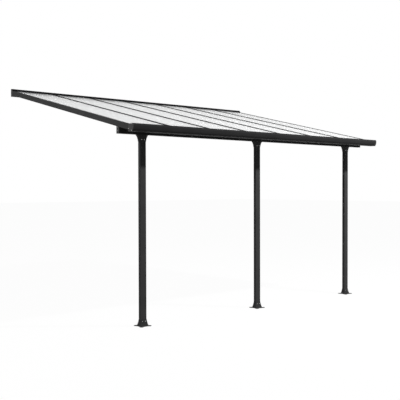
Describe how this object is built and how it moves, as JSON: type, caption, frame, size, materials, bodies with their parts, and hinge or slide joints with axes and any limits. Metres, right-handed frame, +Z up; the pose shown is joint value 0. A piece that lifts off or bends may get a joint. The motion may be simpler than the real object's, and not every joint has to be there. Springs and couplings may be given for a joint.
{
  "type": "wall-mounted pergola",
  "caption": "Patio cover with a sloped roof of clear sheets between metal rafters, fixed to a wall at the back and carried by a beam on slim posts behind a front gutter.",
  "frame": {"origin": "on the back face of the wall profile, at the middle of its length, 53 mm over its lower edge", "axes": "+X along the wall to the right as seen from the garden, +Y into the wall, +Z up; the roof falls towards -Y and the floor is at z = -2.823 m"},
  "size_m": [4.25, 2.8615, 2.8725],
  "materials": {
    "coated_frame": "satin powder coat, dark grey",
    "moulded_grey": "fine grained, dark grey",
    "roof_sheet": "clear twin wall sheet"
  },
  "bodies": {
    "root": {"wall_profile": "coated_frame", "wall_profile_cap_left": "moulded_grey", "wall_profile_cap_right": "moulded_grey", "side_rafter_left": "coated_frame", "side_rafter_right": "coated_frame", "rafter_1": "coated_frame", "rafter_2": "coated_frame", "rafter_3": "coated_frame", "rafter_4": "coated_frame", "rafter_5": "coated_frame", "rafter_6": "coated_frame", "roof_panel_1": "roof_sheet", "roof_panel_2": "roof_sheet", "roof_panel_3": "roof_sheet", "roof_panel_4": "roof_sheet", "roof_panel_5": "roof_sheet", "roof_panel_6": "roof_sheet", "roof_panel_7": "roof_sheet", "gutter_left": "coated_frame", "gutter_right": "coated_frame", "gutter_joint": "moulded_grey", "gutter_cap_left": "moulded_grey", "gutter_cap_right": "moulded_grey", "header_beam": "coated_frame", "header_beam_cap_left": "moulded_grey", "header_beam_cap_right": "moulded_grey", "post_left": "coated_frame", "post_foot_left": "moulded_grey", "post_head_left": "moulded_grey", "post_middle": "coated_frame", "post_foot_middle": "moulded_grey", "post_head_middle": "moulded_grey", "post_right": "coated_frame", "post_foot_right": "moulded_grey", "post_head_right": "moulded_grey"}
  },
  "joints": []
}
